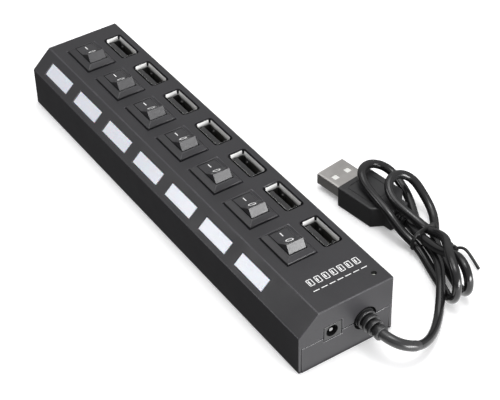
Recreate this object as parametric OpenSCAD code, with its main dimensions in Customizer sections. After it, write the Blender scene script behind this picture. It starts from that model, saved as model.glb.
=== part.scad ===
// Seven-port desk hub: a two-part plastic case with a row of upright sockets, a rocker
// switch and a lit window for each socket, a power inlet, and a captive folded cord.
// Millimetres. X across, Y along the case (the cord leaves at -Y), Z up, origin on the
// underside, in the middle of the case.

/* [Case] */
// Length of the case along Y
case_length = 166; // [160:0.5:172]
// Width of the case along X
case_width = 34.5; // [34:0.1:36]
// Height of the case without its switches
case_height = 21.3; // [21:0.1:23]
// Width of the bevel along the left side
bevel_width = 7.1; // [6.5:0.1:7.5]
// Height of the bevel along the left side
bevel_height = 6.6; // [6:0.1:7]
// Thickness of the top shell's walls
shell_wall = 1.8; // [1.4:0.1:2]
// Height of the line where the end walls part
parting_height = 10; // [9.5:0.1:10.5]

/* [Rows] */
// Distance from one socket to the next
pitch = 20.4; // [20.2:0.1:20.8]
// Place of the first socket along Y
first_y = 68.6; // [68:0.1:69]

/* [Sockets] */
// Place of the sockets across the case
socket_x = 11.5; // [11:0.1:11.8]
// Length of a socket's metal shell along Y
socket_length = 13.1; // [12.8:0.1:13.4]
// Width of a socket's metal shell along X
socket_width = 5.72; // [5.6:0.01:5.8]
// How far the sockets sit below the case's top
socket_recess = 0.1; // [0:0.1:0.5]

/* [Switches] */
// Place of the rocker switches across the case
switch_x = -0.45; // [-1:0.05:0]
// Length of a switch's bezel along Y
bezel_length = 15; // [14.8:0.1:15.4]
// Width of a switch's bezel along X
bezel_width = 10.5; // [10.2:0.1:10.8]
// How far the bezel stands above the case
bezel_height = 1.7; // [1.4:0.1:2]
// How far a rocker leans to each side of level
rocker_tilt = 16; // [12:0.5:16]

/* [Lights] */
// Length of a lit window along Y
window_length = 14.8; // [14:0.1:15.4]

/* [Cord] */
// Diameter of the cord
cord_d = 3; // [2.8:0.1:3.2]

/* [Hidden] */
$fn = 48;

half_w = case_width / 2;
half_l = case_length / 2;
end_wall = 2;
fit_gap = 0.1;

// Skin left outside the tray's end walls, and the lift of the shell's side walls
skin = 1;
shell_lift = 0.3;
tray_floor = 1.6;

// Board: underside height and thickness
board_z = 5.2;
board_t = 1.6;
board_top = board_z + board_t;

// Screw posts: far left, far right, near left, near right
posts = [[-11.4, 78.2], [12.2, 78.2], [-11.4, -77.6], [12.4, -70.5]];
post_r = 2.6;
pilot_r = 1.05;
screw_r = 1;
screw_head_r = 2.2;
screw_head_h = 1.3;
screw_length = 14;

// Sockets
cutout_gap = 0.65;
cutout_r = 1.2;
sheet_t = 0.3;
mouth_depth = 1.6;
mouth_notch = 0.65;
mouth_edge = 0.06;
socket_top = case_height - socket_recess;
tongue_t = 1.84;
tongue_w = 11.1;
tongue_top = 19.9;
tongue_back_gap = 0.65;
socket_base_top = 11;
contact_t = 0.25;
contact_w = 1;
contact_ys = [-3.5, -1, 1, 3.5];

// Switches
rim_z = case_height + bezel_height;
rim_length = 11.5;
rim_width = 6.6;
pivot_z = 21;
switch_body_length = 13;
switch_body_width = 8.4;
switch_body_z = 10.8;
bezel_lip = 0.45;
bezel_sink = 0.6;
bezel_groove = 0.3;
rim_t = 0.25;
cavity_length = 12.2;
cavity_floor_z = 14;
cavity_top_z = 22.4;
rocker_r = 5.83;
rocker_width = 6.3;
rocker_tip_angle = 36;
rocker_heel_angle = -6;
rocker_nose = 2.4;
rocker_dip = 2.3;
rocker_under = 3;
trunnion_r = 0.8;
trunnion_reach = 0.6;
trunnion_gap = 0.05;
switch_shift_y = 0.4;

// Windows on the bevel, as shares of its height
window_low = 0.21;
window_high = 0.68;
guide_x = -12.4;
guide_w = 1.6;
guide_l = 4;
guide_low = board_top + 1;
window_t = 2.4;
guide_sink = 1.6;
led_x = -11.6;

// Power inlet
jack_x = -4.9;
jack_w = 6.4;
jack_low = 8.7;
jack_high = 14.2;
jack_length = 12;
jack_hole = [-5.2, 11.7];
jack_hole_r = 2.1;
jack_hole_depth = 9.5;
jack_pin_r = 0.65;
jack_pin_back = 72;

// Cord outlet
outlet = [7, 10];
outlet_r = 4.2;
boot_r = 3.3;
boot_tip_r = 2.4;
boot_out = 8.4;
boot_rings = 4;
groove_t = 0.8;
flange_r = 4.9;
flange_t = 1.2;

// Centre line of the cord from its boot to the folded hank
cord_path = [
    [7, -88, 10], [7, -91, 10], [7.8, -94.6, 9.7], [10.2, -97.6, 8.6], [14.6, -98.8, 6.6],
    [19.5, -97.3, 4.3], [24.5, -94.3, 2.6], [29, -90.6, 1.9], [33.2, -86.6, 2.8], [37.2, -82, 5]
];

// Folded hank: height, waist under the tie, and its lobes
hank_height = 15.9;
hank_waist = [[43.4, -61.3, 1.3], [53, -58.7, 8]];
tie_t = 0.8;
tie_end_r = 0.8;

// Plug: middle of the moulding's front face, and how far it is turned
plug_at = [45.2, -25.9, 0];
plug_turn = 8;
mould_w = 15;
mould_h = 8;
mould_l = 15.5;
neck_w = 7.8;
neck_l = 6;
neck_end = 25;
plug_w = 12;
plug_h = 4.5;
plug_out = 11.2;
plug_in = 5;
insulator_t = 1.95;
latch_x = 2.8;
latch_y = 4.6;
latch_size = 2.2;
plug_z = (mould_h - plug_h) / 2;

function row_y(k) = first_y - (k - 1) * pitch;
function switch_y(k) = row_y(k) + switch_shift_y;
function bevel_point(t) = [-half_w + t * bevel_width, case_height - bevel_height * (1 - t)];
function bevel_normal() = [-bevel_height, bevel_width] / norm([bevel_width, bevel_height]);

// One point of a smooth curve that four neighbouring route points pull on
function blend(p, i, u) =
    (p[i] * pow(1 - u, 3) + p[i + 1] * (3 * pow(u, 3) - 6 * u * u + 4)
    + p[i + 2] * (-3 * pow(u, 3) + 3 * u * u + 3 * u + 1) + p[i + 3] * pow(u, 3)) / 6;
function smooth_path(p, steps) =
    [for (i = [0 : len(p) - 4]) for (j = [0 : steps - 1]) blend(p, i, j / steps)];
function unit(v) = v / norm(v);

module y_extrude(length, y = 0) {
    translate([0, y + length / 2, 0]) rotate([90, 0, 0]) linear_extrude(length) children();
}

// ---- case ----

module case_outline(inset, low) {
    lean = inset * (norm([bevel_width, bevel_height]) - bevel_width) / bevel_height;
    polygon([
        [-half_w + inset, low],
        [-half_w + inset, case_height - bevel_height - lean],
        [-half_w + bevel_width + lean, case_height - inset],
        [half_w - inset, case_height - inset],
        [half_w - inset, low]
    ]);
}

module jack_opening() {
    translate([jack_x - jack_w / 2 - 0.1, -half_l - 1, jack_low - 0.25])
        cube([jack_w + 0.35, end_wall + 2, jack_high - jack_low + 0.35]);
}

module outlet_hole() {
    translate([outlet[0], -half_l - 1, outlet[1]]) rotate([-90, 0, 0])
        cylinder(r = outlet_r, h = end_wall + 2);
}

module switch_cutouts() {
    for (k = [1 : 7]) translate([switch_x, switch_y(k), case_height]) {
        translate([-switch_body_width / 2 - fit_gap, -switch_body_length / 2 - fit_gap, -3])
            cube([switch_body_width + 2 * fit_gap, switch_body_length + 2 * fit_gap, 4]);
        // shallow recess that the bezel sits in
        translate([-bezel_width / 2 - bezel_groove, -bezel_length / 2 - bezel_groove, -bezel_sink])
            cube([bezel_width + 2 * bezel_groove, bezel_length + 2 * bezel_groove, 2]);
    }
}

module socket_cutouts() {
    half = [socket_width / 2 + cutout_gap - cutout_r, socket_length / 2 + cutout_gap - cutout_r];
    for (k = [1 : 7]) translate([socket_x, row_y(k), case_height - 3]) linear_extrude(4) hull()
        for (x = [-1, 1]) for (y = [-1, 1]) translate([x * half[0], y * half[1]]) circle(r = cutout_r);
}

module top_shell() {
    color([0.27, 0.27, 0.28]) difference() {
        union() {
            difference() {
                y_extrude(case_length) case_outline(0, shell_lift);
                y_extrude(case_length - 2 * end_wall) case_outline(shell_wall, -1);
                // rebates that take the tray's end walls
                for (side = [-1, 1])
                    translate([-half_w + skin, side * (half_l - end_wall / 2) - end_wall, -1])
                        cube([case_width - 2 * skin, 2 * end_wall, parting_height + fit_gap + 1]);
            }
            intersection() {
                y_extrude(case_length) case_outline(0.6, 0);
                for (p = posts) translate([p[0], p[1], board_z + fit_gap])
                    cylinder(r = post_r, h = case_height);
            }
        }
        for (p = posts)
            translate([p[0], p[1], 0]) cylinder(r = pilot_r, h = screw_length + 1.5);
        switch_cutouts();
        socket_cutouts();
        for (k = [1 : 7]) light_opening(k);
        translate([13.5, -78.2, case_height - 3]) cylinder(r = 0.9, h = 4);
        jack_opening();
        outlet_hole();
    }
}

module base_tray() {
    inner_half = half_w - shell_wall - fit_gap;
    color([0.25, 0.25, 0.26]) difference() {
        union() {
            translate([-inner_half, -half_l + end_wall, 0])
                cube([2 * inner_half, case_length - 2 * end_wall, tray_floor]);
            // lip that locates the tray inside the shell
            for (side = [-1, 1])
                translate([side * (inner_half - 0.6) - 0.6, -half_l + end_wall, 0])
                    cube([1.2, case_length - 2 * end_wall, 4.4]);
            for (side = [-1, 1])
                translate([-half_w + skin + fit_gap, side * (half_l - end_wall / 2) - end_wall / 2, 0])
                    cube([case_width - 2 * skin - 2 * fit_gap, end_wall, parting_height]);
            for (p = posts) translate([p[0], p[1], 0]) cylinder(r = 3, h = board_z);
            for (y = [-48, 5, 58]) translate([0, y, 0]) cylinder(r = 2, h = board_z);
        }
        for (p = posts) {
            translate([p[0], p[1], -1]) cylinder(r = screw_r + 0.3, h = board_z + 2);
            translate([p[0], p[1], -1]) cylinder(r = screw_head_r + 0.2, h = screw_head_h + 1.3);
        }
        jack_opening();
        outlet_hole();
    }
}

module case_screws() {
    color([0.62, 0.62, 0.64]) for (p = posts) translate([p[0], p[1], 0.3]) difference() {
        union() {
            cylinder(r = screw_head_r, h = screw_head_h);
            cylinder(r = screw_r, h = screw_length);
        }
        // cross recess
        for (turn = [0, 90]) rotate(turn) translate([-1.2, -0.25, -1]) cube([2.4, 0.5, 1.7]);
    }
}

// ---- board ----

module main_board() {
    color([0.05, 0.3, 0.15]) difference() {
        translate([-14.4, -79.6, board_z]) cube([29, 160, board_t]);
        for (p = posts) translate([p[0], p[1], board_z - 1]) cylinder(r = 3.2, h = board_t + 2);
    }
}

module hub_chips() {
    color([0.08, 0.08, 0.09]) for (y = [-26, 38]) translate([-8.2, y, board_top]) {
        translate([-2.5, -2.5, 0.1]) cube([5, 5, 1]);
        for (side = [-1, 1]) for (i = [-2 : 2])
            translate([i * 0.9 - 0.15, side * 2.9 - 0.4, 0]) cube([0.3, 0.8, 0.25]);
    }
}

module crystal() {
    color([0.75, 0.75, 0.76]) translate([-8.2, 8, board_top]) {
        for (side = [-1, 1]) translate([0, side * 2.8, 0]) cylinder(r = 1.8, h = 3.4);
        translate([-1.8, -2.8, 0]) cube([3.6, 5.6, 3.4]);
    }
}

module capacitors() {
    color([0.1, 0.1, 0.3]) for (p = [[-9.2, -68], [1.6, -68], [-8.2, 66]])
        translate([p[0], p[1], board_top]) cylinder(r = 2.4, h = 7);
}

module port_leds() {
    color([0.9, 0.9, 0.8]) for (k = [1 : 7])
        translate([led_x - 0.8, row_y(k) - 1.5, board_top]) cube([1.6, 3, 0.8]);
}

module power_led() {
    color([0.7, 0.75, 0.8]) translate([13.5, -78.2, board_top]) {
        cylinder(r = 0.75, h = case_height - 1.2 - board_top);
        cylinder(r = 1.1, h = 3);
    }
}

// ---- sockets ----

module socket_slab(inset, low, high) {
    translate([-socket_width / 2 + inset, -socket_length / 2 + inset, low])
        cube([socket_width - 2 * inset, socket_length - 2 * inset, high - low]);
}

module usb_socket_shell(k) {
    color([0.78, 0.78, 0.77]) translate([socket_x, row_y(k), 0]) difference() {
        socket_slab(0, board_top, socket_top);
        socket_slab(sheet_t, board_top - 1, socket_top + 1);
        // mouth that widens upwards, split at its corners into four flaps
        hull() {
            socket_slab(sheet_t, socket_top - mouth_depth, socket_top - mouth_depth + 0.1);
            socket_slab(mouth_edge, socket_top - 0.05, socket_top + 0.1);
        }
        for (x = [-1, 1]) for (y = [-1, 1])
            translate([x * socket_width / 2, y * socket_length / 2, socket_top - mouth_depth / 2 + 0.5])
                cube([2 * mouth_notch, 2 * mouth_notch, mouth_depth + 1], center = true);
    }
}

module usb_socket_tongue(k) {
    inner_w = socket_width - 2 * sheet_t;
    inner_l = socket_length - 2 * sheet_t;
    color([0.06, 0.06, 0.06]) translate([socket_x, row_y(k), 0]) {
        translate([-inner_w / 2, -inner_l / 2, board_top])
            cube([inner_w, inner_l, socket_base_top - board_top]);
        translate([-inner_w / 2 + tongue_back_gap, -tongue_w / 2, board_top])
            cube([tongue_t, tongue_w, tongue_top - board_top]);
    }
}

module socket_contacts() {
    face = socket_x - socket_width / 2 + sheet_t + tongue_back_gap + tongue_t;
    color([0.85, 0.7, 0.35]) for (k = [1 : 7]) for (y = contact_ys)
        translate([face, row_y(k) + y - contact_w / 2, socket_base_top])
            cube([contact_t, contact_w, tongue_top - socket_base_top - 0.8]);
}

// ---- switches ----

module bezel_section(outer, rim) {
    low = case_height - bezel_sink;
    lip = case_height + bezel_lip;
    polygon([[-outer / 2, low], [-outer / 2, lip], [-rim / 2 - rim_t, rim_z],
        [rim / 2 + rim_t, rim_z], [outer / 2, lip], [outer / 2, low]]);
}

module switch_housing(k) {
    color([0.17, 0.17, 0.18]) translate([switch_x, switch_y(k), 0]) difference() {
        union() {
            // bezel with a low upright lip, sloping sides and mitred corners
            intersection() {
                y_extrude(bezel_length) bezel_section(bezel_width, rim_width);
                translate([-bezel_width / 2, 0, 0]) rotate([90, 0, 90]) linear_extrude(bezel_width)
                    bezel_section(bezel_length, rim_length);
            }
            translate([-switch_body_width / 2, -switch_body_length / 2, switch_body_z])
                cube([switch_body_width, switch_body_length, case_height - switch_body_z]);
        }
        translate([-rim_width / 2, -rim_length / 2, pivot_z])
            cube([rim_width, rim_length, rim_z - pivot_z + 1]);
        translate([-rim_width / 2, -cavity_length / 2, cavity_floor_z])
            cube([rim_width, cavity_length, cavity_top_z - cavity_floor_z]);
        translate([-rim_width / 2 - trunnion_reach, 0, pivot_z]) rotate([0, 90, 0])
            cylinder(r = trunnion_r + trunnion_gap, h = rim_width + 2 * trunnion_reach);
    }
}

module rocker_outline() {
    // seen along X, in the level position: V top, flat ends, nose below
    tip = rocker_r * [cos(rocker_tip_angle), sin(rocker_tip_angle)];
    heel = rocker_r * [cos(rocker_heel_angle), sin(rocker_heel_angle)];
    polygon([[0, rocker_dip], tip, heel, [rocker_nose, -rocker_under],
        [-rocker_nose, -rocker_under], [-heel[0], heel[1]], [-tip[0], tip[1]]]);
}

module rocker(k) {
    color([0.13, 0.13, 0.14]) translate([switch_x, switch_y(k), pivot_z]) rotate([-rocker_tilt, 0, 0]) {
        translate([-rocker_width / 2, 0, 0]) rotate([90, 0, 90])
            linear_extrude(rocker_width) rocker_outline();
        translate([-rim_width / 2 - trunnion_reach + 0.1, 0, 0]) rotate([0, 90, 0])
            cylinder(r = trunnion_r, h = rim_width + 2 * trunnion_reach - 0.2);
    }
}

module switch_terminals() {
    color([0.8, 0.75, 0.6]) for (k = [1 : 7]) for (y = [-4, 0, 4])
        translate([switch_x - 1.2, switch_y(k) + y - 0.3, board_top])
            cube([2.4, 0.6, switch_body_z - board_top]);
}

// ---- lights ----

module window_outline(grow) {
    a = bevel_point(window_low) - grow * [bevel_width, bevel_height] / norm([bevel_width, bevel_height]);
    b = bevel_point(window_high) + grow * [bevel_width, bevel_height] / norm([bevel_width, bevel_height]);
    n = bevel_normal();
    polygon([a + grow * 10 * n, b + grow * 10 * n, b - window_t * n, a - window_t * n]);
}

module light_opening(k) {
    y_extrude(window_length + 2 * fit_gap, row_y(k)) window_outline(fit_gap);
}

module light_window(k) {
    top = bevel_point((window_low + window_high) / 2) - guide_sink * bevel_normal();
    color([0.93, 0.94, 0.97]) {
        y_extrude(window_length, row_y(k)) window_outline(0);
        // light guide down to the board's lamp
        translate([guide_x, row_y(k) - guide_l / 2, guide_low])
            cube([guide_w, guide_l, top[1] - guide_low]);
    }
}

// ---- power inlet ----

module dc_jack_body() {
    color([0.1, 0.1, 0.1]) difference() {
        union() {
            translate([jack_x - jack_w / 2, -half_l, jack_low])
                cube([jack_w, jack_length, jack_high - jack_low]);
            translate([jack_x - jack_w / 2, -half_l + end_wall + 0.2, board_top])
                cube([jack_w, jack_length - end_wall - 0.2, jack_low - board_top]);
        }
        translate([jack_hole[0], -half_l - 1, jack_hole[1]]) rotate([-90, 0, 0])
            cylinder(r = jack_hole_r, h = jack_hole_depth + 1);
    }
}

module dc_jack_pin() {
    color([0.8, 0.8, 0.78]) translate([jack_hole[0], -half_l + 0.6, jack_hole[1]]) rotate([-90, 0, 0])
        cylinder(r = jack_pin_r, h = jack_hole_depth - 0.6);
}

// ---- cord ----

module strain_relief() {
    pitch_y = boot_out / boot_rings;
    color([0.16, 0.16, 0.17]) translate([outlet[0], -half_l, outlet[1]]) rotate([90, 0, 0]) rotate_extrude()
        polygon(concat(
            [[0, -end_wall - flange_t], [flange_r, -end_wall - flange_t],
                [flange_r, -end_wall - fit_gap], [boot_r, -end_wall - fit_gap]],
            [for (i = [0 : boot_rings - 1])
                let (r = boot_r + (boot_tip_r - boot_r) * i / (boot_rings - 1), y = i * pitch_y)
                each [[r, y], [r, y + 0.6 * pitch_y],
                    [r - groove_t, y + 0.65 * pitch_y], [r - groove_t, y + 0.95 * pitch_y]]],
            [[boot_tip_r - 0.3, boot_out], [0, boot_out]]
        ));
}

module cord_lead() {
    rings = smooth_path(cord_path, 3);
    sides = 8;
    last = len(rings) - 1;
    across = [for (i = [0 : last]) unit(cross(rings[min(i + 1, last)] - rings[max(i - 1, 0)], [0, 0, 1]))];
    up = [for (i = [0 : last]) unit(cross(across[i], rings[min(i + 1, last)] - rings[max(i - 1, 0)]))];
    points = [for (i = [0 : last]) for (j = [0 : sides - 1])
        rings[i] + cord_d / 2 * (cos(j * 360 / sides) * across[i] + sin(j * 360 / sides) * up[i])];
    skin_faces = [for (i = [0 : last - 1]) for (j = [0 : sides - 1])
        [i * sides + j, i * sides + (j + 1) % sides,
            (i + 1) * sides + (j + 1) % sides, (i + 1) * sides + j]];
    color([0.09, 0.09, 0.1]) polyhedron(points, concat(
        skin_faces,
        [[for (j = [sides - 1 : -1 : 0]) j], [for (j = [0 : sides - 1]) last * sides + j]]
    ));
}

module plug_frame() {
    translate(plug_at) rotate(plug_turn) children();
}

module mould_outline(grow) {
    wide = mould_w / 2 + grow;
    narrow = neck_w / 2 + grow;
    polygon([
        [-wide, grow], [-wide, -mould_l], [-narrow, -mould_l - 2.7], [-narrow, -mould_l - neck_l - grow],
        [narrow, -mould_l - neck_l - grow], [narrow, -mould_l - 2.7], [wide, -mould_l], [wide, grow]
    ]);
}

module far_fold() {
    hull() {
        translate([51, -34.4]) circle(r = 10, $fn = 32);
        translate([54.4, -44.6]) circle(r = 9.6, $fn = 32);
        translate([hank_waist[0][0], hank_waist[1][1]]) square([hank_waist[1][0] - hank_waist[0][0], 3]);
    }
}

module near_fold() {
    waist = hank_waist[0];
    hull() {
        translate([43, -84]) circle(r = 9.2, $fn = 32);
        translate([waist[0], waist[1] - 3]) square([hank_waist[1][0] - waist[0], 3]);
    }
}

module cord_hank() {
    color([0.11, 0.11, 0.12]) difference() {
        union() {
            linear_extrude(hank_height) far_fold();
            linear_extrude(hank_height) near_fold();
            translate(hank_waist[0] - [0, 1, 0]) cube(hank_waist[1] - hank_waist[0] + [0, 2, 0]);
        }
        // room for the plug that the folds lie on
        plug_frame() translate([0, 0, -1]) {
            linear_extrude(mould_h + 1.1) mould_outline(0.1);
            translate([-2.8, -neck_end, 0]) cube([5.6, neck_end - mould_l, mould_h + 1.1]);
            translate([-mould_w, 0, 0]) cube([2 * mould_w, 20, mould_h + 1.1]);
        }
    }
}

module cord_tie() {
    size = hank_waist[1] - hank_waist[0];
    color([0.07, 0.07, 0.07]) {
        difference() {
            translate(hank_waist[0] - [tie_t, -fit_gap, tie_t])
                cube([size[0] + 2 * tie_t, size[1] - 2 * fit_gap, size[2] + 2 * tie_t]);
            translate(hank_waist[0] - [0, 1, 0]) cube(size + [0, 2, 0]);
        }
        // twisted ends, lying beside the hank
        translate([53.4, -60, tie_end_r + 0.2]) rotate([0, 90, 0]) cylinder(r = tie_end_r, h = 2.6);
        translate([55.6, -60, tie_end_r + 0.2]) rotate([90, 0, 0]) cylinder(r = tie_end_r, h = 17);
    }
}

// ---- plug ----

module plug_overmold() {
    color([0.09, 0.09, 0.1]) plug_frame() difference() {
        union() {
            linear_extrude(mould_h) mould_outline(0);
            translate([0, -mould_l - neck_l, mould_h / 2]) rotate([90, 0, 0])
                cylinder(r1 = 2.6, r2 = 2, h = neck_end - mould_l - neck_l);
        }
        translate([-plug_w / 2, -plug_in, plug_z]) cube([plug_w, plug_in + 1, plug_h]);
    }
}

module plug_shell() {
    color([0.72, 0.71, 0.69]) plug_frame() difference() {
        translate([-plug_w / 2, -plug_in, plug_z]) cube([plug_w, plug_in + plug_out, plug_h]);
        translate([-plug_w / 2 + sheet_t, -plug_in - 1, plug_z + sheet_t])
            cube([plug_w - 2 * sheet_t, plug_in + plug_out + 2, plug_h - 2 * sheet_t]);
        // latch windows, top and bottom
        for (side = [-1, 1])
            translate([side * latch_x - latch_size / 2, latch_y, plug_z - 1])
                cube([latch_size, latch_size, plug_h + 2]);
    }
}

module plug_insulator() {
    wide = plug_w - 2 * sheet_t;
    color([0.92, 0.92, 0.9]) plug_frame() {
        translate([-wide / 2, -plug_in, plug_z + plug_h - sheet_t - insulator_t])
            cube([wide, plug_in + plug_out - 0.5, insulator_t]);
        translate([-wide / 2, -plug_in, plug_z + sheet_t]) cube([wide, plug_in, plug_h - 2 * sheet_t]);
    }
}

module plug_contacts() {
    color([0.85, 0.7, 0.35]) plug_frame() for (x = contact_ys)
        translate([x - contact_w / 2, 0.2, plug_z + plug_h - sheet_t - insulator_t - contact_t])
            cube([contact_w, plug_out - 2.2, contact_t]);
}

top_shell();
base_tray();
case_screws();
main_board();
for (k = [1 : 7]) {
    usb_socket_shell(k);
    usb_socket_tongue(k);
    switch_housing(k);
    rocker(k);
    light_window(k);
}
socket_contacts();
switch_terminals();
port_leds();
power_led();
hub_chips();
crystal();
capacitors();
dc_jack_body();
dc_jack_pin();
strain_relief();
cord_lead();
cord_hank();
cord_tie();
plug_overmold();
plug_shell();
plug_insulator();
plug_contacts();
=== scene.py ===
"""The looks of a seven-port desk hub.

Softened plastic shells, rocker switches, sockets, a captive cord and its plug.
"""

import math

import bmesh
import bpy
from mathutils import Matrix, Vector


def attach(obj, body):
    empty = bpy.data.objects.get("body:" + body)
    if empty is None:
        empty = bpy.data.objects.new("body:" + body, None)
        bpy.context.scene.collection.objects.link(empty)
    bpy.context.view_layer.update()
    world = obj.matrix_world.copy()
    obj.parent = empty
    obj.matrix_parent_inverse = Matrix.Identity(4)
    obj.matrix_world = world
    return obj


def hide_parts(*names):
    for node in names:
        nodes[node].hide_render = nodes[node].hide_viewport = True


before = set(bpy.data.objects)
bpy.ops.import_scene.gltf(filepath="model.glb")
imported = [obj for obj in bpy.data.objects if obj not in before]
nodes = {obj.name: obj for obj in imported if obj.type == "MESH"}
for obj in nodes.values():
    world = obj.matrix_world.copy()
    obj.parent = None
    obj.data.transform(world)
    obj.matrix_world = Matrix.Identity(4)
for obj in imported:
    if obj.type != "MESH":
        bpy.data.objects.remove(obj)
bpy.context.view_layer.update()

MM = 0.001
PORTS = range(1, 8)
HUB = "hub"


def mm(*values):
    return Vector(values) * MM


# ---- camera ----

CAMERA_PLACE = mm(-197.07, -339.84, 333.12)
# Azimuth, elevation and roll in degrees
CAMERA_TURN = (-32.631, 40.198, -1.636)
LENS, SENSOR = 110.41, 36


def look_axes(azimuth, elevation, roll):
    """Right, up and forward for a camera that looks along azimuth, down by elevation."""
    a, e, r = (math.radians(v) for v in (azimuth, elevation, roll))
    forward = Vector((-math.sin(a) * math.cos(e), math.cos(a) * math.cos(e), -math.sin(e)))
    level = Vector((math.cos(a), math.sin(a), 0))
    raised = level.cross(forward)
    right = level * math.cos(r) + raised * math.sin(r)
    return right, right.cross(forward), forward


def make_camera():
    right, up, forward = look_axes(*CAMERA_TURN)
    data = bpy.data.cameras.new("camera")
    data.lens = LENS
    data.sensor_width = SENSOR
    data.clip_start = 0.01
    camera = bpy.data.objects.new("camera", data)
    facing = Matrix((right, up, -forward)).transposed().to_4x4()
    camera.matrix_world = Matrix.Translation(CAMERA_PLACE) @ facing
    bpy.context.scene.collection.objects.link(camera)
    bpy.context.scene.camera = camera


make_camera()


# ---- materials ----

class Nodes:
    """A material's node tree, with short calls to add nodes and join them."""

    def __init__(self, name):
        self.material = bpy.data.materials.new(name)
        self.material.use_nodes = True
        self.tree = self.material.node_tree
        self.shader = self.tree.nodes["Principled BSDF"]
        self.place = self.add("ShaderNodeTexCoord").outputs["Object"]

    def add(self, kind, **settings):
        node = self.tree.nodes.new(kind)
        for key, value in settings.items():
            setattr(node, key, value)
        return node

    def join(self, out, into):
        self.tree.links.new(out, into)

    def noise(self, size, detail=2.0, stretch=(1, 1, 1)):
        """Noise whose features are about size metres across."""
        mapping = self.add("ShaderNodeMapping")
        mapping.inputs["Scale"].default_value = [1 / (size * s) for s in stretch]
        texture = self.add("ShaderNodeTexNoise")
        texture.inputs["Scale"].default_value = 1
        texture.inputs["Detail"].default_value = detail
        self.join(self.place, mapping.inputs["Vector"])
        self.join(mapping.outputs["Vector"], texture.inputs["Vector"])
        return texture.outputs["Fac"]

    def spread(self, value, low, high, start=0.3, end=0.7):
        node = self.add("ShaderNodeMapRange")
        for key, number in (("From Min", start), ("From Max", end), ("To Min", low), ("To Max", high)):
            node.inputs[key].default_value = number
        self.join(value, node.inputs["Value"])
        return node.outputs["Result"]

    def mix(self, value, dark, light):
        node = self.add("ShaderNodeMix", data_type="RGBA")
        node.inputs["A"].default_value = (*dark, 1)
        node.inputs["B"].default_value = (*light, 1)
        self.join(value, node.inputs["Factor"])
        return node.outputs["Result"]

    def bump(self, height, depth):
        node = self.add("ShaderNodeBump")
        node.inputs["Distance"].default_value = depth
        node.inputs["Strength"].default_value = 1.0
        self.join(height, node.inputs["Height"])
        self.join(node.outputs["Normal"], self.shader.inputs["Normal"])

    def set(self, **values):
        for key, value in values.items():
            self.shader.inputs[key.replace("_", " ")].default_value = value
        return self.material


def shade(colour, factor):
    return tuple(c * factor for c in colour)


def moulded(name, colour, roughness, grain=0.35 * MM, depth=0.012 * MM, mottle=0.12, specular=0.5):
    """Moulded plastic or rubber: a fine spark-eroded grain, and slow drifts of colour and gloss."""
    n = Nodes(name)
    drift = n.noise(9 * MM, 4)
    grains = n.noise(grain, 3)
    tone = n.add("ShaderNodeMath", operation="MULTIPLY_ADD")
    n.join(grains, tone.inputs[0])
    tone.inputs[1].default_value = 0.5
    n.join(n.spread(drift, 0, 0.5), tone.inputs[2])
    mottled = n.mix(tone.outputs[0], shade(colour, 1 - mottle), shade(colour, 1 + mottle))
    n.join(mottled, n.shader.inputs["Base Color"])
    n.join(n.spread(drift, roughness - 0.05, roughness + 0.06), n.shader.inputs["Roughness"])
    n.bump(grains, depth)
    return n.set(Specular_IOR_Level=specular, Coat_Weight=0.0, Coat_Roughness=0.25)


# The depth over which the painted shade inside a socket deepens, as the light dies away
FADE = 1.1 * MM


def metal(name, colour, roughness, stretch=(1, 1, 8), depth=0.002 * MM, metallic=1.0, painted_shade_below=None):
    """Plated sheet: fine drawn lines along the stretched axis, and faint cloudy patches.

    It fades to a dark tone under a given height, a painted shade where the light inside a socket dies away.
    """
    n = Nodes(name)
    lines = n.noise(0.12 * MM, 3, stretch)
    clouds = n.noise(2.5 * MM, 3)
    tone = n.mix(clouds, shade(colour, 0.86), shade(colour, 1.08))
    if painted_shade_below:
        height = n.add("ShaderNodeSeparateXYZ")
        n.join(n.place, height.inputs["Vector"])
        faded = n.add("ShaderNodeMix", data_type="RGBA")
        faded.inputs["A"].default_value = (*shade(colour, 0.05), 1)
        n.join(tone, faded.inputs["B"])
        n.join(n.spread(height.outputs["Z"], 0, 1, painted_shade_below - FADE, painted_shade_below), faded.inputs["Factor"])
        tone = faded.outputs["Result"]
    n.join(tone, n.shader.inputs["Base Color"])
    n.join(n.spread(lines, roughness - 0.06, roughness + 0.08), n.shader.inputs["Roughness"])
    n.bump(lines, depth)
    return n.set(Metallic=metallic)


def milky(name, colour):
    """A glossy diffusing window with faint cloudy patches."""
    n = Nodes(name)
    clouds = n.noise(4 * MM, 3)
    n.join(n.mix(clouds, shade(colour, 0.95), shade(colour, 1.03)), n.shader.inputs["Base Color"])
    n.join(n.spread(clouds, 0.2, 0.3), n.shader.inputs["Roughness"])
    n.bump(n.noise(0.8 * MM), 0.004 * MM)
    return n.set(Subsurface_Weight=0.15, Subsurface_Scale=1.5 * MM, Coat_Weight=0.3, Coat_Roughness=0.1)


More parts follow.
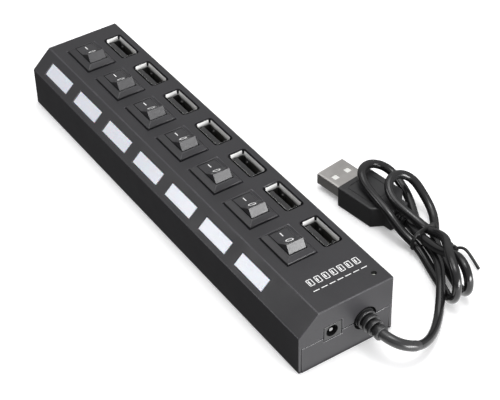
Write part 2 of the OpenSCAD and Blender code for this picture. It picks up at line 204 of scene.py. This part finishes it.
CHARCOAL = (0.0215, 0.0208, 0.0235)
MATERIALS = {
    "case": moulded("case", CHARCOAL, 0.46, specular=0.42),
    "case_base": moulded("case_base", shade(CHARCOAL, 0.95), 0.46, specular=0.42),
    # The case's roundings: glossier, as polished by handling, and twice as light as the case, a painted
    # highlight along the edges
    "case_edge_highlight": moulded("case_edge_highlight", shade(CHARCOAL, 2.0), 0.24, depth=0.003 * MM, specular=0.6),
    "bezel": moulded("bezel", (0.024, 0.0233, 0.026), 0.38, depth=0.008 * MM),
    "rocker": moulded("rocker", (0.027, 0.0262, 0.029), 0.32, grain=0.25 * MM, depth=0.012 * MM),
    "mark": moulded("mark", (0.80, 0.80, 0.80), 0.5, depth=0.004 * MM, mottle=0.05),
    "socket_plastic": moulded("socket_plastic", (0.020, 0.020, 0.021), 0.30, depth=0.004 * MM),
    "cord": moulded("cord", (0.009, 0.009, 0.0095), 0.20, grain=0.8 * MM, depth=0.006 * MM),
    "boot": moulded("boot", (0.026, 0.026, 0.027), 0.26, depth=0.008 * MM),
    "tie": moulded("tie", (0.012, 0.012, 0.012), 0.36, grain=0.25 * MM),
    "overmold": moulded("overmold", (0.018, 0.018, 0.019), 0.40, depth=0.012 * MM),
    "chip": moulded("chip", (0.02, 0.02, 0.02), 0.5),
    "capacitor": moulded("capacitor", (0.02, 0.03, 0.10), 0.3, depth=0.002 * MM),
    "board": moulded("board", (0.01, 0.11, 0.04), 0.3, grain=1.2 * MM, depth=0.02 * MM),
    "led": moulded("led", (0.75, 0.78, 0.70), 0.3, depth=0.002 * MM, mottle=0.05),
    "plug_insulator": moulded("plug_insulator", (0.78, 0.78, 0.75), 0.35, depth=0.002 * MM, mottle=0.04),
    # This tin darkens under a height inside the socket: painted shade
    "socket_tin": metal("socket_tin", (0.92, 0.92, 0.91), 0.34, metallic=0.4, painted_shade_below=20.3 * MM),
    # A near-black tin for the shells' outer faces: painted shade
    "tin_painted_shade": metal("tin_painted_shade", (0.05, 0.05, 0.05), 0.5),
    "pin_metal": metal("pin_metal", (0.30, 0.30, 0.30), 0.35),
    "nickel": metal("nickel", (0.74, 0.73, 0.71), 0.24),
    "plug_metal": metal("plug_metal", (0.47, 0.455, 0.44), 0.36, stretch=(1, 8, 1)),
    "screw_steel": metal("screw_steel", (0.55, 0.55, 0.57), 0.30, stretch=(1, 1, 1)),
    "contact_gold": metal("contact_gold", (0.83, 0.62, 0.25), 0.25),
    "window": milky("window", (0.70, 0.72, 0.78)),
}


# ---- meshes ----

def piece(name, mesh, material, body=HUB, sharp=35):
    """A finished mesh as a piece that rides on a body."""
    for face in mesh.polygons:
        face.use_smooth = True
    mesh.set_sharp_from_angle(angle=math.radians(sharp))
    mesh.materials.clear()
    mesh.materials.append(MATERIALS[material])
    obj = bpy.data.objects.new(name, mesh)
    bpy.context.scene.collection.objects.link(obj)
    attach(obj, body)
    return obj


def finished(bm, name):
    bmesh.ops.recalc_face_normals(bm, faces=bm.faces)
    mesh = bpy.data.meshes.new(name)
    bm.to_mesh(mesh)
    bm.free()
    return mesh


# Faces larger than this are plain flats, and smaller ones belong to a rounding
SMOOTH_BELOW = 2 * MM * MM


def softened(node, width, material, body=HUB, shortest=0.9 * MM, bend=30, edge=None):
    """A copy of a CAD node with its edges rounded off, standing for the node.

    edge is a finish for the roundings alone; the case's is glossier and lighter than its faces, partly polish
    and partly a painted highlight.
    """
    bm = bmesh.new()
    bm.from_mesh(nodes[node].data)
    bmesh.ops.remove_doubles(bm, verts=bm.verts, dist=0.001 * MM)
    bmesh.ops.dissolve_limit(bm, angle_limit=math.radians(1), verts=bm.verts, edges=bm.edges)
    edges = [e for e in bm.edges if e.is_manifold and e.calc_length() > shortest
             and e.calc_face_angle() > math.radians(bend)]
    bmesh.ops.bevel(bm, geom=edges, offset=width, segments=3, profile=0.5, affect="EDGES",
                    clamp_overlap=False, material=1 if edge else -1)
    mesh = finished(bm, node + "_skin")
    rounded = [face.index for face in mesh.polygons if face.material_index]
    obj = piece(node + "_skin", mesh, material, body)
    for face in mesh.polygons:
        face.use_smooth = face.area < SMOOTH_BELOW
    if edge:
        mesh.materials.append(MATERIALS[edge])
        for index in rounded:
            mesh.polygons[index].material_index = 1
    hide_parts(node)
    return obj


def frames_along(path, closed=False):
    """For each point of a path, its tangent and two axes across it that don't twist."""
    count = len(path)
    tangents = []
    for i in range(count):
        after = path[(i + 1) % count] if closed or i < count - 1 else path[i]
        before = path[i - 1] if closed or i > 0 else path[i]
        tangents.append((after - before).normalized())
    first = tangents[0]
    upright = abs(first.z) > 0.9
    side = (first.orthogonal() if upright else first.cross(Vector((0, 0, 1)))).normalized()
    result = []
    for tangent in tangents:
        side = (side - tangent * side.dot(tangent)).normalized()
        result.append((tangent, side, side.cross(tangent).normalized()))
    return result


def swept(name, path, section, closed=False):
    """A mesh whose cross-section, a function of the ring's number, follows a path."""
    bm = bmesh.new()
    rings = []
    for i, (point, (tangent, side, up)) in enumerate(zip(path, frames_along(path, closed))):
        rings.append([bm.verts.new(point + side * x + up * y) for x, y in section(i)])
    sides = len(rings[0])
    for i in range(len(rings) if closed else len(rings) - 1):
        a, b = rings[i], rings[(i + 1) % len(rings)]
        for j in range(sides):
            bm.faces.new((a[j], a[(j + 1) % sides], b[(j + 1) % sides], b[j]))
    if not closed:
        bm.faces.new(rings[0])
        bm.faces.new(reversed(rings[-1]))
    return finished(bm, name)


def lathed(name, profile, origin, axis, sides=48):
    """A mesh turned round an axis from (radius, distance) pairs."""
    across = axis.orthogonal().normalized()
    other = axis.cross(across)
    bm = bmesh.new()
    rings = []
    for radius, along in profile:
        ring = []
        for j in range(sides):
            turn = 2 * math.pi * j / sides
            spoke = across * math.cos(turn) + other * math.sin(turn)
            ring.append(bm.verts.new(origin + axis * along + spoke * radius))
        rings.append(ring)
    for a, b in zip(rings, rings[1:]):
        for j in range(sides):
            bm.faces.new((a[j], a[(j + 1) % sides], b[(j + 1) % sides], b[j]))
    bm.faces.new(rings[0])
    bm.faces.new(reversed(rings[-1]))
    return finished(bm, name)


def round_section(radius, sides):
    turns = [2 * math.pi * j / sides for j in range(sides)]
    return [(radius * math.cos(turn), radius * math.sin(turn)) for turn in turns]


def slab_outline(wide, high, radius, steps=5):
    """A rounded rectangle round the origin, as (x, y) pairs."""
    points = []
    for corner, (sx, sy) in enumerate(((1, 1), (-1, 1), (-1, -1), (1, -1))):
        for i in range(steps + 1):
            turn = math.radians(90 * corner + 90 * i / steps)
            x = sx * (wide / 2 - radius) + radius * math.cos(turn)
            y = sy * (high / 2 - radius) + radius * math.sin(turn)
            points.append((x, y))
    return points


def prism(bm, outline, to_space, low, high):
    """Adds a closed prism of an outline between two heights; to_space turns (x, y, z) into a place."""
    bottom = [bm.verts.new(to_space(x, y, low)) for x, y in outline]
    top = [bm.verts.new(to_space(x, y, high)) for x, y in outline]
    count = len(outline)
    for j in range(count):
        bm.faces.new((bottom[j], bottom[(j + 1) % count], top[(j + 1) % count], top[j]))
    bm.faces.new(reversed(bottom))
    bm.faces.new(top)


def ring_prism(bm, outer, inner, to_space, low, high):
    """Adds a closed frame between two outlines that have the same number of points."""
    levels = [[bm.verts.new(to_space(x, y, z)) for x, y in outline]
              for outline, z in ((outer, low), (outer, high), (inner, high), (inner, low))]
    count = len(outer)
    for a, b in zip(levels, levels[1:] + levels[:1]):
        for j in range(count):
            bm.faces.new((a[j], a[(j + 1) % count], b[(j + 1) % count], b[j]))


# ---- cord ----

CORD_D = 3.0 * MM


def turn_points(start, middle, end, count):
    """Points along the circle through three points, which is how a fold of cord turns back."""
    a, m, b = (Vector(p) for p in (start, middle, end))
    u, v = b - a, m - a
    w = u.cross(v)
    centre = a + (w.cross(u) * v.length_squared + v.cross(w) * u.length_squared) / (2 * w.length_squared)
    first = a - centre
    axis = -w.normalized()
    across = axis.cross(first)

    def angle(point):
        return math.atan2((point - centre).dot(across), (point - centre).dot(first)) % (2 * math.pi)

    whole = angle(b)
    turns = [whole * i / (count - 1) for i in range(count)]
    return [centre + first * math.cos(turn) + across * math.sin(turn) for turn in turns]


# Where the passes of the cord go through the tie: three below and two above
LOW_LEFT, LOW_MIDDLE, LOW_RIGHT = (45, -60, 3), (48.2, -60, 3), (51.4, -61, 3)
HIGH_LEFT, HIGH_RIGHT = (46.4, -60, 6), (49.8, -60, 6.4)

# The cord's middle in mm: round the corner, then four folds that come back through the tie
ROUTE = [
    (7, -83.2, 10), (7, -88, 10), (7, -91, 10), (7.8, -94.6, 9.7), (10.2, -97.6, 8.6), (14.6, -98.8, 6.6),
    (19.5, -97.3, 4.3), (24.5, -94.3, 2.6), (29, -90.6, 1.9), (33.2, -86.6, 2.8), (37.2, -82, 5),
    (41.2, -76.8, 5.6), (44.6, -71.5, 4.9), (46.9, -66, 3.6), LOW_MIDDLE,
    (50.6, -53.5, 3), (54.2, -46.5, 4), (57, -40, 5),
    *turn_points((58, -34, 6), (51.4, -25.4, 10.8), (44.4, -33, 9.9), 6),
    (43.4, -40, 9.9), (43, -48, 8.9), (43.3, -54.5, 4.9), LOW_LEFT, (43.9, -66, 2), (41.8, -73, 1.8),
    *turn_points((39.9, -80, 1.9), (37.3, -89.4, 8.4), (40.2, -82.3, 15.3), 6),
    (43.2, -77, 14.9), (46.8, -72, 13), (49.2, -66.5, 9.8), HIGH_RIGHT, (48.8, -54, 8), (47.4, -48.5, 9.4),
    *turn_points((47.4, -42.8, 10.2), (54, -36.6, 12.4), (60.4, -43, 6.6), 6),
    (60.4, -48.6, 3.0), (58, -53.4, 1.9), (54.8, -57.4, 1.9), LOW_RIGHT, (49.6, -66.5, 1.9), (47.2, -72, 1.8),
    *turn_points((45, -79.2, 1.9), (43, -88.6, 7.4), (45, -79.4, 12.9), 6),
    (45.4, -75, 10), (45.2, -69, 7.8), HIGH_LEFT, (47.3, -55, 4.9), (48.7, -50.6, 4), (49.3, -46.6, 4)
]


def smoothed(points, steps):
    """A uniform cubic B-spline that starts at the first point and ends at the last."""
    points = [Vector(p) for p in points]
    points = [points[0] * 2 - points[1], *points, points[-1] * 2 - points[-2]]
    line = []
    for a, b, c, d in zip(points, points[1:], points[2:], points[3:]):
        for i in range(steps):
            u = i / steps
            line.append((a * (1 - u) ** 3 + b * (3 * u ** 3 - 6 * u * u + 4)
                         + c * (-3 * u ** 3 + 3 * u * u + 3 * u + 1) + d * u ** 3) / 6)
    return line + [(points[-3] + points[-2] * 4 + points[-1]) / 6]


def even(line, step):
    """The same line with points an equal step apart."""
    lengths = [0]
    for a, b in zip(line, line[1:]):
        lengths.append(lengths[-1] + (b - a).length)
    count = round(lengths[-1] / step)
    result, k = [], 0
    for i in range(count + 1):
        target = lengths[-1] * i / count
        while k < len(line) - 2 and lengths[k + 1] < target:
            k += 1
        share = (target - lengths[k]) / (lengths[k + 1] - lengths[k])
        result.append(line[k].lerp(line[k + 1], share))
    return result


CORD_STEP = 0.7
cord_line = [p * MM for p in even(smoothed(ROUTE, 16), CORD_STEP)]
cord_mesh = swept("cord", cord_line, lambda i: round_section(CORD_D / 2, 20))
cord = piece("cord", cord_mesh, "cord")
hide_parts("cord_lead", "cord_hank")


# ---- strain relief ----

BOOT_AT = mm(7, -83, 10)
BOOT_OUT = 8.4
BOOT_RIBS = 4
RIB_R, RIB_TAPER = 3.35, 0.30
# A rib's share of its step, and that of the last rib, which has no groove behind it
RIB_SHARE, LAST_SHARE = 0.60, 0.98


def boot_profile():
    """A collar and shrinking ribs with deep grooves between them, each with rounded lips."""
    profile = [(0.01, 3), (4.4, 3), (4.4, 2.1), (3.4, 2.1), (3.4, 0.1)]
    step = BOOT_OUT / BOOT_RIBS
    for i in range(BOOT_RIBS):
        radius = RIB_R - RIB_TAPER * i
        start = -i * step
        width = step * (RIB_SHARE if i < BOOT_RIBS - 1 else LAST_SHARE)
        profile += [(radius - 0.25, start), (radius - 0.07, start - 0.07), (radius, start - 0.25)]
        profile += [(radius - 0.03, start - width + 0.25), (radius - 0.1, start - width + 0.07),
                    (radius - 0.28, start - width)]
        if i < BOOT_RIBS - 1:
            profile += [(radius - 1.25, start - width - 0.05), (radius - 1.3, start - step + 0.05)]
    profile.append((0.01, -BOOT_OUT))
    return [(r * MM, d * MM) for r, d in profile]


boot_mesh = lathed("strain_relief_ribs", boot_profile(), BOOT_AT, Vector((0, 1, 0)))
boot = piece("strain_relief_ribs", boot_mesh, "boot", sharp=50)
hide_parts("strain_relief")

SLEEVE_FROM, SLEEVE_TO = 7.8 * MM, 18 * MM
SLEEVE_R, SLEEVE_END_R = 1.72 * MM, 1.56 * MM
sleeve_line = [p for p in cord_line if SLEEVE_FROM < (p - BOOT_AT).length < SLEEVE_TO]


def sleeve_section(i):
    return round_section(SLEEVE_R if i < len(sleeve_line) - 2 else SLEEVE_END_R, 20)


sleeve = piece("cord_sleeve", swept("cord_sleeve", sleeve_line, sleeve_section), "boot")


# ---- tie ----

TIE_CENTRE, TIE_LEAN = mm(48.2, -60, 4.7), 0.12
TIE_WIRE = 0.5 * MM
# Half the space between the two twisted strands in mm, and their turn at each step in radians
TWIST_R, TWIST_STEP = 0.42, 0.42
TWIST = [(53.4, -60.6, 3), (54.2, -62.5, 2.2), (54.9, -65.5, 1.7), (55.1, -68.4, 1.7)]
LOOSE_END = [(54.9, -67.5, 1.5), (56.2, -68.6, 2.4), (57, -70.5, 2.6), (56.6, -74, 1.6),
             (55.6, -78.6, 0.9)]


def tie_ring():
    """A flat band round the waist of the hank."""
    path = []
    for x, y in slab_outline(10.6 * MM, 7.6 * MM, 3.0 * MM, 8):
        path.append(TIE_CENTRE + Vector((x, TIE_LEAN * x - 0.1 * y, y)))
    band = slab_outline(1.3 * MM, 0.6 * MM, 0.28 * MM, 3)
    return swept("tie_ring", path, lambda i: band, closed=True)


def tie_tail():
    """Two twisted strands that start at the ring, and one that bends away along the floor."""
    axis = even(smoothed(TWIST, 12), 0.25)
    lines = []
    for phase in (0, math.pi):
        line = []
        for i, (point, (tangent, side, up)) in enumerate(zip(axis, frames_along(axis))):
            turn = phase + i * TWIST_STEP
            line.append((point + (side * math.cos(turn) + up * math.sin(turn)) * TWIST_R) * MM)
        lines.append(line)
    lines.append([p * MM for p in even(smoothed(LOOSE_END, 12), 0.4)])
    return lines


tie_pieces = [piece("tie_ring", tie_ring(), "tie")]
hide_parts("cord_tie")
for number, line in enumerate(tie_tail(), 1):
    wire = swept(f"tie_end_{number}", line, lambda i: round_section(TIE_WIRE, 12))
    tie_pieces.append(piece(f"tie_end_{number}", wire, "tie"))


# ---- plug ----

PLUG_TURN = math.radians(8)
PLUG_AT = mm(45.2, -25.9, 0)
PLUG_AXIS = Vector((-math.sin(PLUG_TURN), math.cos(PLUG_TURN), 0))
PLUG_SIDE = Vector((math.cos(PLUG_TURN), math.sin(PLUG_TURN), 0))


def plug_space(x, y, z):
    """A place given across, along and above the plug's moulding."""
    return PLUG_AT + PLUG_SIDE * x + PLUG_AXIS * y + Vector((0, 0, z))


def cut(mesh, cutters, name):
    """A mesh with other meshes cut out of it."""
    base = bpy.data.objects.new(name, mesh)
    bpy.context.scene.collection.objects.link(base)
    helpers = []
    for number, cutter in enumerate(cutters):
        helper = bpy.data.objects.new(f"cutter_{number}", cutter)
        bpy.context.scene.collection.objects.link(helper)
        modifier = base.modifiers.new("cut", "BOOLEAN")
        modifier.operation = "DIFFERENCE"
        modifier.solver = "EXACT"
        modifier.object = helper
        helpers.append(helper)
    bpy.context.view_layer.update()
    result = bpy.data.meshes.new_from_object(base.evaluated_get(bpy.context.evaluated_depsgraph_get()))
    for obj in [base, *helpers]:
        bpy.data.objects.remove(obj)
    return result


def block(outline, to_space, low, high):
    bm = bmesh.new()
    prism(bm, outline, to_space, low, high)
    return finished(bm, "block")


def make_plug_shell():
    """The folded sheet of a USB-A plug, with its two square latch holes through top and bottom."""
    wide, high, sheet, middle = 12 * MM, 4.5 * MM, 0.3 * MM, 4 * MM

    def around(x, z, y):
        return plug_space(x, y, z + middle)

    body = block(slab_outline(wide, high, 0.65 * MM), around, -5 * MM, 11.2 * MM)
    hollow = block(slab_outline(wide - 2 * sheet, high - 2 * sheet, 0.4 * MM), around, -4.8 * MM, 12 * MM)
    holes = []
    for side in (-1, 1):
        def through(x, y, z, side=side):
            return plug_space(x + side * 2.8 * MM, y + 5.7 * MM, z)

        holes.append(block(slab_outline(2.3 * MM, 2.3 * MM, 0.25 * MM), through, -1 * MM, 9 * MM))
    return cut(body, [hollow, *holes], "plug_shell_sheet")


plug_shell = piece("plug_shell_sheet", make_plug_shell(), "plug_metal")
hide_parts("plug_shell")
overmold = softened("plug_overmold", 0.55 * MM, "overmold")


def grip_ridge():
    """A thin raised border on the moulding's top, as a finger grip."""
    bm = bmesh.new()

    def over(x, y, z):
        return plug_space(x, y - 7.6 * MM, z)

    outer = slab_outline(10.6 * MM, 11.4 * MM, 1.6 * MM)
    inner = slab_outline(9.8 * MM, 10.6 * MM, 1.2 * MM)
    ring_prism(bm, outer, inner, over, 7.9 * MM, 8.15 * MM)
    return finished(bm, "plug_grip_ridge")


def neck_ribs():
    """Three shrinking collars where the cord enters the moulding."""
    bm = bmesh.new()
    for i in range(3):
        start = -21.7 - i * 1.15
        outline = slab_outline((5.6 - 0.3 * i) * MM, (5.2 - 0.3 * i) * MM, 1.6 * MM)

        def beside(x, z, y, start=start):
            return plug_space(x, y + start * MM, z + 4 * MM)

        prism(bm, outline, beside, -0.62 * MM, 0)
    return finished(bm, "plug_neck_ribs")


ridge = piece("plug_grip_ridge", grip_ridge(), "overmold")
ribs = piece("plug_neck_ribs", neck_ribs(), "overmold")


# ---- case ----

# The case's roundings get the lighter edge finish, partly a painted highlight
softened("top_shell", 0.28 * MM, "case", edge="case_edge_highlight")
softened("base_tray", 0.22 * MM, "case_base", edge="case_edge_highlight")

CASE_TOP = 21.3
# The far port's place along the case, and the step from one port to the next
FIRST_Y, PITCH = 68.6, 20.4
# How far prints go into the surface that they are on, and how far they stand off it
PRINT_IN, PRINT_OUT = -0.01, 0.03
MARK_IN, MARK_OUT = -0.02, 0.035


def row_y(k):
    return FIRST_Y - (k - 1) * PITCH


def decal_space(x, y, z):
    return mm(x, y, CASE_TOP + z)


def printed_label():
    """A row of seven small socket signs over a thin dashed line, printed on the case near its end."""
    frame_outer, frame_inner = slab_outline(1.9, 2.9, 0.3), slab_outline(1.4, 2.4, 0.15)
    bm = bmesh.new()
    for k in range(7):
        def place(x, y, z, k=k):
            return decal_space(x - 4.5 + k * 2.8, y - 70.9, z)

        def tongue(x, y, z, place=place):
            return place(x - 0.25, y, z)

        def rule(x, y, z, k=k):
            return decal_space(x - 4.9 + k * 2.9, y - 74.6, z)

        ring_prism(bm, frame_outer, frame_inner, place, PRINT_IN, PRINT_OUT)
        prism(bm, slab_outline(0.4, 1.6, 0.1), tongue, PRINT_IN, PRINT_OUT)
        prism(bm, slab_outline(2.2, 0.3, 0.12), rule, PRINT_IN, PRINT_OUT)
    return finished(bm, "printed_label")


piece("printed_label", printed_label(), "mark")


# ---- switches ----

PIVOT_Z, ROCKER_X = 21.0, -0.45
# A wing's tip as a radius and an angle from the pivot, the V's depth, and the tilt at rest
ROCKER_R, TIP_ANGLE, DIP, TILT = 5.83, 36, 2.3, 16


def wing_space(k, side):
    """Places on a rocker's wing: x across, y along the wing from the V, z off its face.

    side is +1 for the far wing.
    """
    rise = math.radians(TIP_ANGLE)
    tip = Vector((side * ROCKER_R * math.cos(rise), ROCKER_R * math.sin(rise)))
    start = Vector((0, DIP))
    along = (tip - start).normalized()
    off = Vector((-along.y, along.x)) * side
    lean = math.radians(-TILT)
    pivot = Vector((ROCKER_X, row_y(k) + 0.4, PIVOT_Z))

    def place(x, y, z):
        local = start + along * y + off * z
        turned = Vector((0, local.x * math.cos(lean) - local.y * math.sin(lean),
                         local.x * math.sin(lean) + local.y * math.cos(lean)))
        return (pivot + turned + Vector((x, 0, 0))) * MM

    return place


def ellipse(wide, long):
    turns = [math.radians(a) for a in range(0, 360, 12)]
    return [(wide * math.cos(turn), long * math.sin(turn)) for turn in turns]


def rocker_marks(k):
    """An I on the far wing and an O on the near one."""
    bm = bmesh.new()
    far, near = wing_space(k, 1), wing_space(k, -1)

    def bar(x, y, z):
        return far(x, y + 2.75, z)

    def ring(x, y, z):
        return near(x, y + 1.75, z)

    prism(bm, slab_outline(0.34, 1.9, 0.1), bar, MARK_IN, MARK_OUT)
    ring_prism(bm, ellipse(1.3, 1.5), ellipse(0.9, 0.95), ring, MARK_IN, MARK_OUT)
    return finished(bm, f"rocker_marks_{k}")


for k in PORTS:
    softened(f"switch_housing_{k}", 0.13 * MM, "bezel")
    softened(f"rocker_{k}", 0.12 * MM, "rocker", f"rocker_{k}", shortest=0)
    piece(f"rocker_marks_{k}", rocker_marks(k), "mark", f"rocker_{k}")


# ---- sockets ----

SOCKET_X, SOCKET_TOP = 11.5, 21.2
# A leaf spring starts below the mouth, and its foot stands on the shell's inside wall
SPRING_START, SPRING_LENGTH, SPRING_T, SPRING_AT = 1.7, 6.5, 0.15, 2.54
SPRING_Y = 3.4
DIMPLE_R, DIMPLE_DEPTH = 0.5 * MM, 3.1


def socket_springs(k):
    """The leaf springs that stand in from a socket's two long walls, those on the +X wall each with a round
    dimple.
    """
    bm = bmesh.new()
    for side in (-1, 1):
        for offset in (-SPRING_Y, SPRING_Y):
            rows = []
            for i in range(13):
                share = i / 12
                depth = SPRING_AT - (0.35 if side > 0 else 0.08) * math.sin(math.pi * share)
                z = SOCKET_TOP - SPRING_START - SPRING_LENGTH * share
                rows.append([bm.verts.new(mm(SOCKET_X + side * (depth + t), row_y(k) + offset + w, z))
                             for w, t in ((-1, 0), (1, 0), (1, SPRING_T), (-1, SPRING_T))])
            for a, b in zip(rows, rows[1:]):
                for j in range(4):
                    bm.faces.new((a[j], a[(j + 1) % 4], b[(j + 1) % 4], b[j]))
            bm.faces.new(rows[0])
            bm.faces.new(reversed(rows[-1]))
            if side > 0:
                centre = mm(SOCKET_X + side * 2.3, row_y(k) + offset, SOCKET_TOP - DIMPLE_DEPTH)
                bmesh.ops.create_icosphere(bm, subdivisions=3, radius=DIMPLE_R,
                                           matrix=Matrix.Translation(centre))
    return finished(bm, f"socket_springs_{k}")


def shade_socket_outside(shell, middle):
    """Gives the faces that point away from a socket's middle a near-black copy of the tin, a painted shade,
    as they sit in shade.
    """
    mesh = shell.data
    mesh.materials.append(MATERIALS["tin_painted_shade"])
    for face in mesh.polygons:
        away = (face.center - middle).xy
        if face.normal.xy.dot(away) > 0:
            face.material_index = 1


for k in PORTS:
    shell = softened(f"usb_socket_shell_{k}", 0.02 * MM, "socket_tin", shortest=0)
    # The shell's outer faces get the near-black tin, a painted shade
    shade_socket_outside(shell, mm(SOCKET_X, row_y(k), 0))
    softened(f"usb_socket_tongue_{k}", 0.25 * MM, "socket_plastic")
    piece(f"socket_springs_{k}", socket_springs(k), "socket_tin")
    softened(f"light_window_{k}", 0.18 * MM, "window")


# ---- power inlet and inner pieces ----

softened("dc_jack_body", 0.18 * MM, "socket_plastic")
# CAD nodes that are shown as they are, with the finish of each
KEPT = {
    "case_screws": "screw_steel", "main_board": "board", "socket_contacts": "contact_gold",
    "switch_terminals": "contact_gold", "port_leds": "led", "power_led": "led", "hub_chips": "chip",
    "crystal": "nickel", "capacitors": "capacitor", "dc_jack_pin": "pin_metal",
    "plug_insulator": "plug_insulator", "plug_contacts": "contact_gold",
}
for name, material in KEPT.items():
    nodes[name].data.materials.clear()
    nodes[name].data.materials.append(MATERIALS[material])


# ---- stage and light ----

# A half side of the floor in metres
FLOOR_HALF = 4
# The sheen card's corners on the table and its underside and top, in metres
SHEEN_OUTLINE = ((-0.06, -0.3), (0.24, -0.3), (0.24, -0.0835), (-0.06, -0.0835))
SHEEN_LOW, SHEEN_HIGH = 0.0003, 0.0006
WORLD_STRENGTH = 0.62


def make_floor():
    n = Nodes("floor")
    pale = n.mix(n.noise(60 * MM, 3), (0.90, 0.90, 0.905), (0.92, 0.92, 0.925))
    n.join(pale, n.shader.inputs["Base Color"])
    n.set(Roughness=0.6, Specular_IOR_Level=0.2, Emission_Color=(1, 1, 1, 1), Emission_Strength=0.20)
    bm = bmesh.new()
    bmesh.ops.create_grid(bm, x_segments=1, y_segments=1, size=FLOOR_HALF)
    floor = bpy.data.objects.new("floor", finished(bm, "floor"))
    floor.data.materials.append(n.material)
    bpy.context.scene.collection.objects.link(floor)
    # The dark sides would otherwise mirror a floor far paler than a studio table
    floor.visible_glossy = False
    floor.visible_diffuse = False


def make_sheen():
    """A pale card on the table in front of the case, seen only as a reflection in glossy things."""
    n = Nodes("sheen")
    n.set(Base_Color=(0, 0, 0, 1), Emission_Color=(1, 1, 1, 1), Emission_Strength=1.6)
    bm = bmesh.new()
    prism(bm, SHEEN_OUTLINE, lambda x, y, z: Vector((x, y, z)), SHEEN_LOW, SHEEN_HIGH)
    card = bpy.data.objects.new("sheen", finished(bm, "sheen"))
    card.data.materials.append(n.material)
    bpy.context.scene.collection.objects.link(card)
    card.visible_camera = card.visible_diffuse = False
    card.visible_shadow = card.visible_transmission = False


def area_light(name, place, target, size, power):
    data = bpy.data.lights.new(name, "AREA")
    data.shape = "RECTANGLE"
    data.size, data.size_y = size
    data.energy = power
    light = bpy.data.objects.new(name, data)
    direction = Vector(target) - Vector(place)
    light.matrix_world = Matrix.Translation(place) @ direction.to_track_quat("-Z", "Y").to_matrix().to_4x4()
    bpy.context.scene.collection.objects.link(light)


def ramp(tree, value, start, end, low, high):
    """A world node that turns start..end into low..high."""
    node = tree.nodes.new("ShaderNodeMapRange")
    for key, number in (("From Min", start), ("From Max", end), ("To Min", low), ("To Max", high)):
        node.inputs[key].default_value = number
    tree.links.new(value, node.inputs["Value"])
    return node.outputs["Result"]


def make_light():
    """A studio that is pale above, dim below the table and a little dimmer on the lights' side."""
    world = bpy.data.worlds.new("world")
    world.use_nodes = True
    tree = world.node_tree
    background = tree.nodes["Background"]
    background.inputs["Strength"].default_value = WORLD_STRENGTH
    place = tree.nodes.new("ShaderNodeTexCoord")
    parts = tree.nodes.new("ShaderNodeSeparateXYZ")
    tree.links.new(place.outputs["Generated"], parts.inputs["Vector"])
    height = ramp(tree, parts.outputs["Z"], -0.15, 0.4, 0.28, 1.0)
    across = ramp(tree, parts.outputs["X"], -1, 0.4, 0.75, 1.0)
    both = tree.nodes.new("ShaderNodeMath")
    both.operation = "MULTIPLY"
    tree.links.new(height, both.inputs[0])
    tree.links.new(across, both.inputs[1])
    tree.links.new(both.outputs["Value"], background.inputs["Color"])
    bpy.context.scene.world = world
    # Each lamp's place and target in metres, its size, and its power in watts
    area_light("overhead", (0.05, 0.08, 0.9), (0, 0, 0), (0.85, 0.85), 4.3)
    area_light("key", (0.06, -0.08, 0.9), (0.03, -0.03, 0), (0.22, 0.22), 1.5)
    area_light("front", (0.22, -0.8, 0.12), (0.0, -0.08, 0.01), (0.6, 0.22), 8.5)
    area_light("left_glow", (-0.33, 0.24, 0.26), (-0.014, -0.075, 0.018), (0.16, 0.14), 0.32)
    bpy.context.scene.view_settings.view_transform = "Standard"


make_floor()
make_sheen()
make_light()
